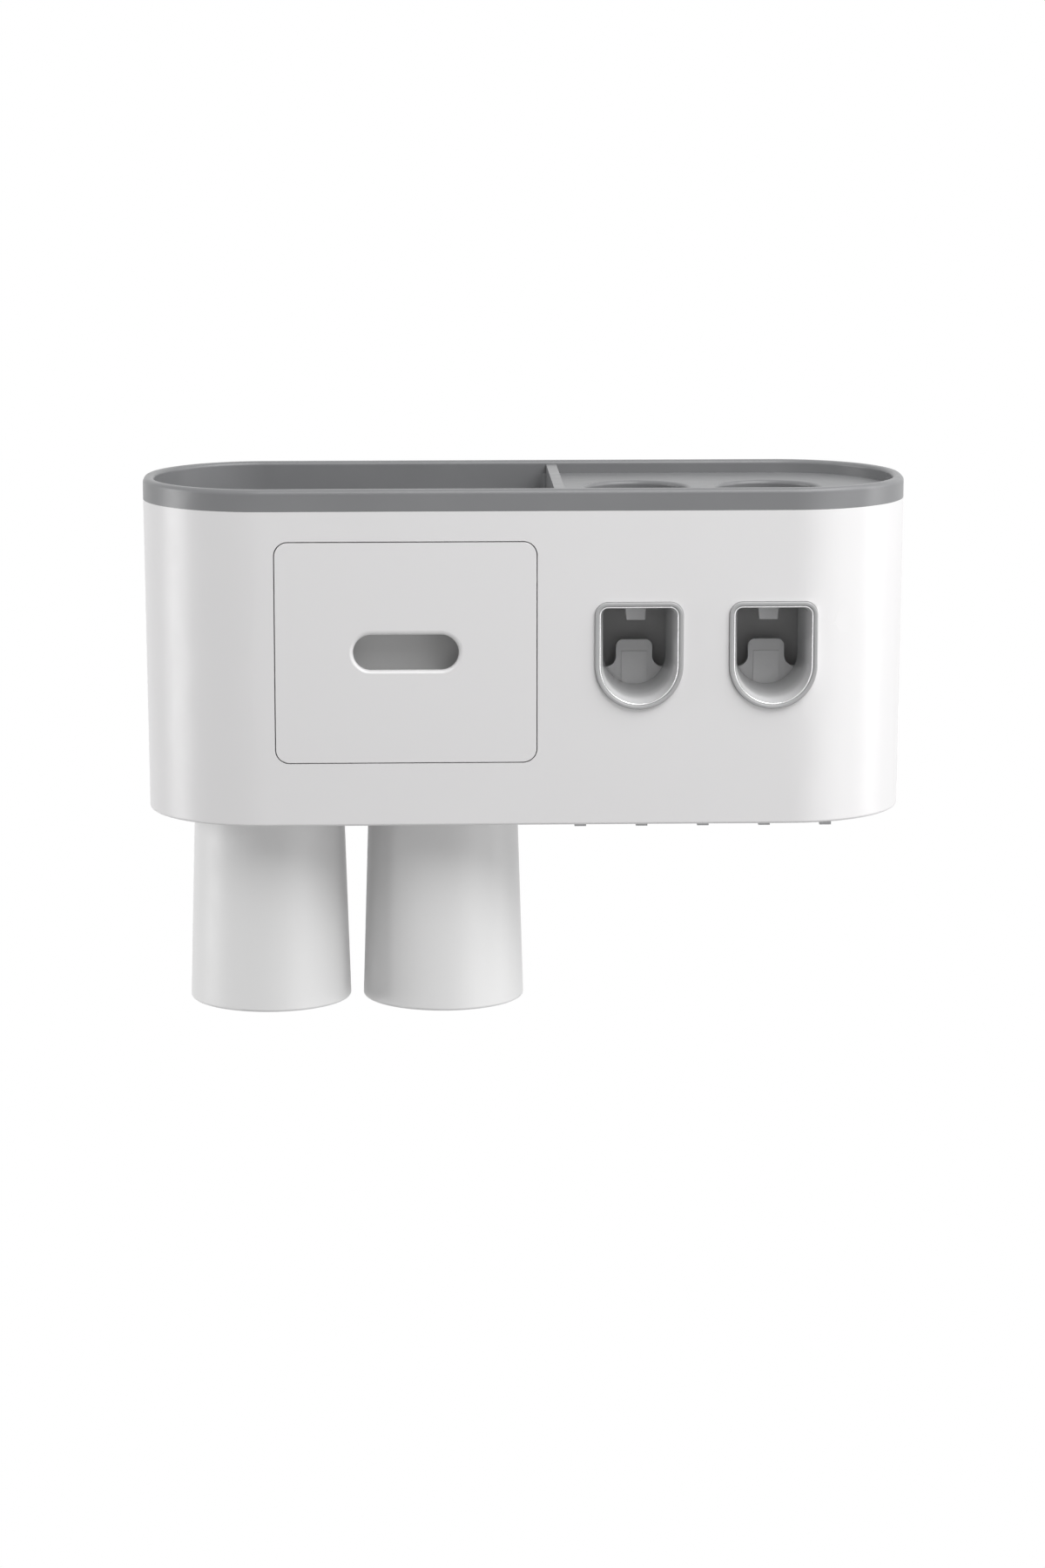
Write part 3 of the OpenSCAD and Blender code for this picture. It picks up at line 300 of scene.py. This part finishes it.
def metal(name, colour, gloss=0.32):
    """Plated steel: turned marks and uneven shine."""
    material, tree, shader, place = shader_nodes(name)
    marks = noise(tree, place, MARK_SIZE, detail=4.0)
    tree.links.new(tint(tree, marks, shaded(colour, MARK_SHADE), colour), shader.inputs["Base Color"])
    tree.links.new(spread(tree, marks, gloss - MARK_GLOSS, gloss + MARK_GLOSS), shader.inputs["Roughness"])
    tree.links.new(bump(tree, marks, MARK_BUMP, MARK_HEIGHT), shader.inputs["Normal"])
    shader.inputs["Metallic"].default_value = 1.0
    return material


MATERIALS = {
    "white_shell": plastic("white_shell", WHITE, gloss=0.34, grain=0.12, drift=0.004),
    # The drawer front's white, with painted shade in its finger pocket
    "drawer_white_painted_shade": plastic("drawer_white_painted_shade", WHITE, gloss=0.34, grain=0.12, pocket=POCKET_PAINTED_SHADE),
    "white_gloss": plastic("white_gloss", CUP_WHITE, gloss=0.42, grain=0, drift=0.004),
    "inner_white": plastic("inner_white", INNER_WHITE, gloss=0.5, grain=0.2, drift=0.01),
    "tray_grey": plastic("tray_grey", TRAY_GREY, gloss=0.36, grain=0.2),
    "light_grey": plastic("light_grey", RACK_GREY, gloss=0.45, grain=0.3),
    "bezel_grey": bezel_plastic("bezel_grey"),
    "lever_grey": plastic("lever_grey", LEVER_GREY, gloss=0.4, grain=0.3),
    "dark_grey": plastic("dark_grey", PUMP_GREY_PAINTED_LIGHT, gloss=0.45, grain=0.4),
    "bead": metal("bead", BEAD_SILVER, gloss=0.14),
    "silicone": rubbery("silicone", SILICONE),
    "screw_steel": metal("screw_steel", STEEL),
    "magnet": metal("magnet", STEEL, gloss=0.22),
    "foam": rubbery("foam", FOAM, gloss=0.8),
}
# The one CAD node whose material isn't that of its slot: painted shade darkens its finger pocket
PAINTED_SHADE_MATERIALS = {"drawer_front": "drawer_white_painted_shade"}

# Radius of the moulded edges on CAD nodes, in millimetres
EDGES = {"drawer_front": 0.35, "shell": 0.25, "tray": 1.0, "base_plate": 0.3, "brush_rack": 0.4,
         "wall_plate": 0.4}
SIDE_EDGES = {"bezel": 0.12, "pusher": 0.35, "nozzle": 0.4, "pump_body": 0.3, "tube_socket": 0.3}
EDGE_SEGMENTS = 2
# Angle, in degrees, from which an edge of a CAD node is softened
EDGE_ANGLE = 30
# How much the large faces count in the shading of the softened edges
SHADE_WEIGHT = 80


def dress_nodes():
    """Gives each CAD node the material of its slot, or its own."""
    for node, slot in SLOT_OF.items():
        finishes = nodes[node].data.materials
        finishes.clear()
        finishes.append(MATERIALS[PAINTED_SHADE_MATERIALS.get(node, slot)])


def soften(node, radius):
    """Small moulded radius on a CAD node's edges."""
    piece = nodes[node]
    weld = piece.modifiers.new("weld", "WELD")
    weld.merge_threshold = WELD_REACH
    edge = piece.modifiers.new("edge", "BEVEL")
    edge.width = radius * MM
    edge.segments = EDGE_SEGMENTS
    edge.limit_method = "ANGLE"
    edge.angle_limit = math.radians(EDGE_ANGLE)
    edge.use_clamp_overlap = True
    shade = piece.modifiers.new("shade", "WEIGHTED_NORMAL")
    shade.weight = SHADE_WEIGHT


# Angle, in degrees, from which an edge of a new piece is sharp
SHARP_ANGLE = 40


def in_scene(name, data):
    """A new object in the scene."""
    thing = bpy.data.objects.new(name, data)
    bpy.context.scene.collection.objects.link(thing)
    return thing


def round_ring(place, one, two, radius, sides):
    """Points round a circle in the plane of two directions."""
    angles = [2 * math.pi * k / sides for k in range(sides)]
    return [place + radius * (math.cos(a) * one + math.sin(a) * two) for a in angles]


def skin(shape, rings, closed=False):
    """Joins rings of points, one after the other, into a tube; closed joins the last to the first."""
    made = [[shape.verts.new(point) for point in ring] for ring in rings]
    pairs = list(zip(made, made[1:]))
    if closed:
        pairs.append((made[-1], made[0]))
    for one, two in pairs:
        for k, point in enumerate(one):
            after = (k + 1) % len(one)
            shape.faces.new((point, one[after], two[after], two[k]))
    return made


def cap_ends(shape, made):
    """Closes both ends of a tube."""
    for end in (made[0], made[-1]):
        shape.faces.new(end)


def finished(shape, name, node, stands_for=False, finish=None):
    """Makes a piece of a bmesh; it rides on a CAD node's body and has that node's material."""
    bmesh.ops.recalc_face_normals(shape, faces=shape.faces)
    mesh = bpy.data.meshes.new(name)
    shape.to_mesh(mesh)
    shape.free()
    mesh.shade_smooth()
    mesh.set_sharp_from_angle(angle=math.radians(SHARP_ANGLE))
    mesh.materials.append(MATERIALS[finish or SLOT_OF[node]])
    piece = in_scene(name, mesh)
    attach(piece, body_of(nodes[node])[0])
    if stands_for:
        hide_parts(node)
    return piece


def box_of(node):
    """A CAD node's lowest and highest corners, and its middle."""
    low, high = (Vector(corner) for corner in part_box(node))
    return low, high, (low + high) / 2


SCREW_NODES = ["base_screws", "rack_screws"] + [f"pump_screws_{side}" for side in SIDES]
SCREW_SIDES = 24
# Rings of points in each turn of a thread
THREAD_STEPS = 6
# The thread's core and pitch, as shares of the shank's radius
CORE_SHARE = 0.72
PITCH_SHARE = 0.8
# Half the width of the thread's ridge, as a share of its pitch
RIDGE_SHARE = 0.35
# The point's radius, as a share of the core's
POINT_SHARE = 0.35
# The rounding of a head, as a share of its height
ROUNDING_SHARE = 0.3
# Places of the points on that rounding, in degrees
HEAD_ANGLES = (0, 30, 60, 90)
HEAD_CHAMFER = 0.1 * MM
# A recess's arm and half its width, as shares of the head's radius, at the top and at its floor
RECESS_SHARES = (0.55, 0.13)
RECESS_FLOOR_SHARES = (0.4, 0.07)
RECESS_DEPTH = 0.75 * MM
# A plain screw's points that are further out than this share of its head's radius are its head's
HEAD_POINT_SHARE = 0.95
# Points of a plain screw this near to its tip are on the tip's face
TIP_REACH = 0.01 * MM


def solids_of(node):
    """The points of each separate solid of a CAD node."""
    shape = bmesh.new()
    shape.from_mesh(nodes[node].data)
    bmesh.ops.remove_doubles(shape, verts=shape.verts, dist=WELD_REACH)
    shape.verts.index_update()
    left = {point.index: point for point in shape.verts}
    groups = []
    while left:
        ahead = [left.pop(min(left))]
        group = []
        while ahead:
            point = ahead.pop()
            group.append(point.co.copy())
            for edge in point.link_edges:
                other = edge.other_vert(point)
                if other.index in left:
                    ahead.append(left.pop(other.index))
        groups.append(group)
    shape.free()
    return groups


def screw_sizes(points):
    """Where a plain screw's head starts, the way to its tip, its length, head and shank."""
    low = Vector([min(point[i] for point in points) for i in range(3)])
    high = Vector([max(point[i] for point in points) for i in range(3)])
    axis = max(range(3), key=lambda i: high[i] - low[i])
    sideways = [i for i in range(3) if i != axis]
    middle = (low + high) / 2

    def off(point):
        """How far a point is from the screw's axis."""
        return math.dist([point[i] for i in sideways], [middle[i] for i in sideways])

    head_r = max(off(point) for point in points)
    head = [point[axis] for point in points if off(point) > HEAD_POINT_SHARE * head_r]
    head_low = min(head) - low[axis] < high[axis] - max(head)
    tip = high[axis] if head_low else low[axis]
    shank_r = max(off(point) for point in points if abs(point[axis] - tip) < TIP_REACH)
    start = middle.copy()
    start[axis] = low[axis] if head_low else high[axis]
    way = Vector((0, 0, 0))
    way[axis] = 1 if head_low else -1
    return start, way, high[axis] - low[axis], head_r, max(head) - min(head), shank_r


def cross(arm, half, depth):
    """Outline of a cross-shaped driver recess."""
    corners = ((half, half), (half, arm), (-half, arm), (-half, half), (-arm, half), (-arm, -half),
               (-half, -half), (-half, -arm), (half, -arm), (half, -half), (arm, -half), (arm, half))
    return [Vector((x, y, depth)) for x, y in corners]


def thread_ring(depth, head_t, length, shank_r):
    """Points round a screw's thread, which runs out at the head and in the point."""
    core = CORE_SHARE * shank_r
    pitch = PITCH_SHARE * shank_r
    fade = min(1, (depth - head_t) / pitch, (length - depth) / (2 * pitch))
    taper = min(1, POINT_SHARE + (1 - POINT_SHARE) * (length - depth) / pitch)
    ring = []
    for k in range(SCREW_SIDES):
        lead = (depth / pitch - k / SCREW_SIDES) % 1
        ridge = max(0, 1 - abs(lead - 0.5) / RIDGE_SHARE)
        radius = core * taper + (shank_r - core) * ridge * fade
        angle = 2 * math.pi * k / SCREW_SIDES
        ring.append(Vector((radius * math.cos(angle), radius * math.sin(angle), depth)))
    return ring


def screw(shape, points):
    """A self-tapping screw in a plain screw's place: rounded head, cross recess, thread and point."""
    start, way, length, head_r, head_t, shank_r = screw_sizes(points)
    rounding = ROUNDING_SHARE * head_t
    outline = [(head_r - rounding + rounding * math.sin(a), rounding - rounding * math.cos(a))
               for a in map(math.radians, HEAD_ANGLES)]
    outline += [(head_r, head_t - HEAD_CHAMFER), (head_r - HEAD_CHAMFER, head_t)]
    rings = [round_ring(depth * UP, ACROSS, INWARD, radius, SCREW_SIDES) for radius, depth in outline]
    shank = length - head_t
    steps = round(shank / (PITCH_SHARE * shank_r) * THREAD_STEPS)
    rings += [thread_ring(head_t + shank * i / steps, head_t, length, shank_r) for i in range(steps + 1)]
    made = skin(shape, rings)
    shape.faces.new(made[-1])
    recess = skin(shape, [cross(*(share * head_r for share in shares), depth)
                          for shares, depth in ((RECESS_SHARES, 0), (RECESS_FLOOR_SHARES, RECESS_DEPTH))])
    shape.faces.new(recess[-1])
    rim = [shape.edges.get((loop[k], loop[(k + 1) % len(loop)])) for loop in (made[0], recess[0])
           for k in range(len(loop))]
    bmesh.ops.triangle_fill(shape, use_beauty=True, edges=rim)
    turn = way.to_track_quat("Z", "Y")
    for point in [corner for row in made + recess for corner in row]:
        point.co = start + turn @ point.co


def cut_screws(node):
    """Screws with heads, recesses and threads for a node's plain ones."""
    work = bmesh.new()
    for solid in solids_of(node):
        screw(work, solid)
    finished(work, f"{node}_cut", node, stands_for=True)


# A spring's wire, the points round it and its rings of points in each turn
WIRE_R = 0.3 * MM
WIRE_SIDES = 10
COIL_STEPS = 24
# Turns between a spring's ends, and closed turns at each end
OPEN_TURNS = 4
CLOSED_TURNS = 1
# Pitch of the closed turns at a spring's ends
CLOSED_PITCH = 2.1 * WIRE_R


def coil_spring(side):
    """Round wire, wound with closed end coils, in the place of the CAD spring."""
    node = f"pusher_spring_{side}"
    low, high, middle = box_of(node)
    radius = (high.x - low.x) / 2 - WIRE_R
    run = high.y - low.y - 2 * WIRE_R
    turns = OPEN_TURNS + 2 * CLOSED_TURNS
    closed = CLOSED_PITCH * CLOSED_TURNS
    rings = []
    for i in range(turns * COIL_STEPS + 1):
        turn = i / COIL_STEPS
        if turn < CLOSED_TURNS:
            along = CLOSED_PITCH * turn
        elif turn > turns - CLOSED_TURNS:
            along = run - CLOSED_PITCH * (turns - turn)
        else:
            along = closed + (run - 2 * closed) * (turn - CLOSED_TURNS) / OPEN_TURNS
        angle = 2 * math.pi * turn
        out = math.cos(angle) * ACROSS + math.sin(angle) * UP
        place = Vector((middle.x, low.y + WIRE_R + along, middle.z)) + radius * out
        rings.append(round_ring(place, out, INWARD, WIRE_R, WIRE_SIDES))
    work = bmesh.new()
    cap_ends(work, skin(work, rings))
    spring = finished(work, f"{node}_wound", node, stands_for=True)
    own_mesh(spring)


# A pump bulb's wall, and the step from it out to its flange, as in the CAD
BULB_WALL = 1.2 * MM
BULB_STEP = 1.1 * MM
BULB_SIDES = 40
# Steps round the bulb's front corner
CORNER_STEPS = 6
CREASE_DEPTH = 0.35 * MM
# Places of the creases, as shares of the bulb's length
CREASE_SHARES = (0.36, 0.6)
# Steps from a crease's middle to its edge, and their length as a share of its depth
CREASE_STEPS = 4
CREASE_STEP_SHARE = 0.25
FLANGE_FILLET = 0.3 * MM
FLANGE_ROUNDING = 0.2 * MM
# The chamfer at the inner end of the bulb's bore, as shares of its wall: in from the bore, up from the front
BORE_CHAMFER_SHARES = (0.35, 1.35)


def bulb_profile(flange_r, length):
    """Radius and depth of each ring of a bulb, from its closed front over its flange into its bore."""
    outer = flange_r - BULB_STEP
    bore = outer - BULB_WALL
    flange = length - BULB_WALL
    profile = []
    for i in range(CORNER_STEPS + 1):
        angle = math.pi / 2 * i / CORNER_STEPS
        profile.append((bore + BULB_WALL * math.sin(angle), BULB_WALL - BULB_WALL * math.cos(angle)))
    for share in CREASE_SHARES:
        for i in range(-CREASE_STEPS, CREASE_STEPS + 1):
            dip = CREASE_DEPTH * (0.5 + 0.5 * math.cos(math.pi * i / CREASE_STEPS))
            profile.append((outer - dip, share * length + i * CREASE_STEP_SHARE * CREASE_DEPTH))
    profile += [(outer, flange - FLANGE_FILLET), (outer + FLANGE_FILLET, flange),
                (flange_r - FLANGE_ROUNDING, flange), (flange_r, flange + FLANGE_ROUNDING),
                (flange_r, length - FLANGE_ROUNDING), (flange_r - FLANGE_ROUNDING, length)]
    chamfer_in, chamfer_up = BORE_CHAMFER_SHARES
    profile += [(bore, length), (bore, 2 * BULB_WALL),
                (bore - chamfer_in * BULB_WALL, chamfer_up * BULB_WALL), (bore - BULB_WALL, BULB_WALL)]
    return profile


def pump_bulb(side):
    """The silicone bulb, drawn rigid: closed front, two shallow creases, flange; on the real dispenser it
    gives way to the lever's nub.
    """
    node = f"pump_bulb_{side}"
    low, high, middle = box_of(node)
    work = bmesh.new()
    rings = [round_ring(Vector((middle.x, low.y + depth, middle.z)), ACROSS, UP, radius, BULB_SIDES)
             for radius, depth in bulb_profile((high.x - low.x) / 2, high.y - low.y)]
    cap_ends(work, skin(work, rings))
    bulb = finished(work, f"{node}_creased", node, stands_for=True)
    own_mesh(bulb)


# The rounding of a bezel's upper corners, how far it stands out, and its lip's way in, as in the CAD
BEZEL_CORNER = 5 * MM
BEZEL_PROUD = 1 * MM
LIP_INSET = 1.85 * MM
BEAD_R = 0.3 * MM
BEAD_SIDES = 10
# Steps round the mouth's lower half circle and round each upper corner
HALF_STEPS = 40
CORNER_BEAD_STEPS = 12


def mouth_bead(side):
    """The polished bead round a dispenser window's mouth, on the lip inside the flat ring."""
    node = f"bezel_{side}"
    low, high, middle = box_of(node)
    half = (high.x - low.x) / 2
    corner_z = high.z - BEZEL_CORNER
    arcs = ((middle.x, low.z + half, half, 180, 360, HALF_STEPS),
            (high.x - BEZEL_CORNER, corner_z, BEZEL_CORNER, 0, 90, CORNER_BEAD_STEPS),
            (low.x + BEZEL_CORNER, corner_z, BEZEL_CORNER, 90, 180, CORNER_BEAD_STEPS))
    rings = []
    for x, z, radius, first, last, steps in arcs:
        for i in range(steps + 1):
            angle = math.radians(first + (last - first) * i / steps)
            out = math.cos(angle) * ACROSS + math.sin(angle) * UP
            place = Vector((x, low.y + BEZEL_PROUD, z)) + (radius - LIP_INSET) * out
            rings.append(round_ring(place, out, INWARD, BEAD_R, BEAD_SIDES))
    work = bmesh.new()
    skin(work, rings, closed=True)
    finished(work, f"mouth_bead_{side}", node, finish="bead")


dress_nodes()
for node, radius in EDGES.items():
    soften(node, radius)
for node in SCREW_NODES:
    cut_screws(node)
for side in SIDES:
    for node, radius in SIDE_EDGES.items():
        soften(f"{node}_{side}", radius)
    coil_spring(side)
    pump_bulb(side)
    mouth_bead(side)

# Studio: soft lights round a point within the part, even light from all sides, and a floor below
AIM = Vector((0, -0.053, -0.03))
LAMP_DISTANCE = 1.6
WORLD_LEVEL = 0.35
FLOOR_LEVEL = -1.95
FLOOR_HALF = 6
FLOOR_GREY = (0.8, 0.8, 0.8, 1)
FLOOR_GLOSS = 0.7
PLAIN_WHITE = (1, 1, 1, 1)


def soft_light(name, bearing, rise, size, radiance):
    """A soft box; bearing is its angle to the right of the front, rise its angle above the part."""
    turn, lift = math.radians(bearing), math.radians(rise)
    across = LAMP_DISTANCE * math.cos(lift)
    away = Vector((across * math.sin(turn), -across * math.cos(turn), LAMP_DISTANCE * math.sin(lift)))
    data = bpy.data.lights.new(name, "AREA")
    data.shape = "RECTANGLE"
    data.size, data.size_y = size
    data.energy = radiance * math.pi * size[0] * size[1]
    lamp = in_scene(name, data)
    lamp.location = AIM + away
    lamp.rotation_euler = (-away).to_track_quat("-Z", "Y").to_euler()


def looked_at(tree):
    """1 where the camera, a mirror or glass looks at this, 0 for the light that it gives."""
    path = tree.nodes.new("ShaderNodeLightPath")
    seen = path.outputs["Is Camera Ray"]
    for ray in ("Is Glossy Ray", "Is Transmission Ray"):
        either = tree.nodes.new("ShaderNodeMath")
        either.operation = "MAXIMUM"
        tree.links.new(seen, either.inputs[0])
        tree.links.new(path.outputs[ray], either.inputs[1])
        seen = either.outputs["Value"]
    return seen


def white_where_seen(tree, kind, lit, output):
    """Sends a shader to an output, with a plain white one of a kind in its place where it is looked at."""
    white = tree.nodes.new(kind)
    white.inputs["Color"].default_value = PLAIN_WHITE
    mix = tree.nodes.new("ShaderNodeMixShader")
    tree.links.new(looked_at(tree), mix.inputs["Fac"])
    tree.links.new(lit, mix.inputs[1])
    tree.links.new(white.outputs[0], mix.inputs[2])
    tree.links.new(mix.outputs["Shader"], output.inputs["Surface"])


def studio_world():
    """Even pale light, and plain white where the camera, a mirror or glass looks past the part."""
    world = bpy.data.worlds.new("studio")
    bpy.context.scene.world = world
    world.use_nodes = True
    tree = world.node_tree
    lit = tree.nodes["Background"]
    lit.inputs["Color"].default_value = PLAIN_WHITE
    lit.inputs["Strength"].default_value = WORLD_LEVEL
    white_where_seen(tree, "ShaderNodeBackground", lit.outputs["Background"], tree.nodes["World Output"])


def studio_floor():
    """Pale floor well below the wall-hung part."""
    mesh = bpy.data.meshes.new("floor")
    shape = bmesh.new()
    bmesh.ops.create_grid(shape, x_segments=1, y_segments=1, size=FLOOR_HALF)
    shape.to_mesh(mesh)
    shape.free()
    floor = in_scene("floor", mesh)
    floor.location = (0, 0, FLOOR_LEVEL)
    material, tree, shader, _ = shader_nodes("floor")
    shader.inputs["Base Color"].default_value = FLOOR_GREY
    shader.inputs["Roughness"].default_value = FLOOR_GLOSS
    white_where_seen(tree, "ShaderNodeEmission", shader.outputs["BSDF"], tree.nodes["Material Output"])
    mesh.materials.append(material)


def place_camera():
    """The camera at the photograph's view."""
    data = bpy.data.cameras.new("camera")
    data.sensor_width = SENSOR
    data.lens = LENS
    camera = in_scene("camera", data)
    camera.location = CAMERA_PLACE
    camera.rotation_euler = (math.pi / 2 - CAMERA_PITCH, 0, -CAMERA_YAW)
    bpy.context.scene.camera = camera


soft_light("overhead", bearing=40, rise=51, size=(1.6, 1.2), radiance=4.6)
soft_light("key_right", bearing=92, rise=10, size=(0.5, 1.6), radiance=3.1)
soft_light("fill_right", bearing=47, rise=-10, size=(1.0, 1.0), radiance=1.45)
soft_light("strip_left", bearing=-91, rise=4, size=(0.75, 1.1), radiance=5.0)
studio_world()
studio_floor()
place_camera()
bpy.context.scene.view_settings.view_transform = "Standard"
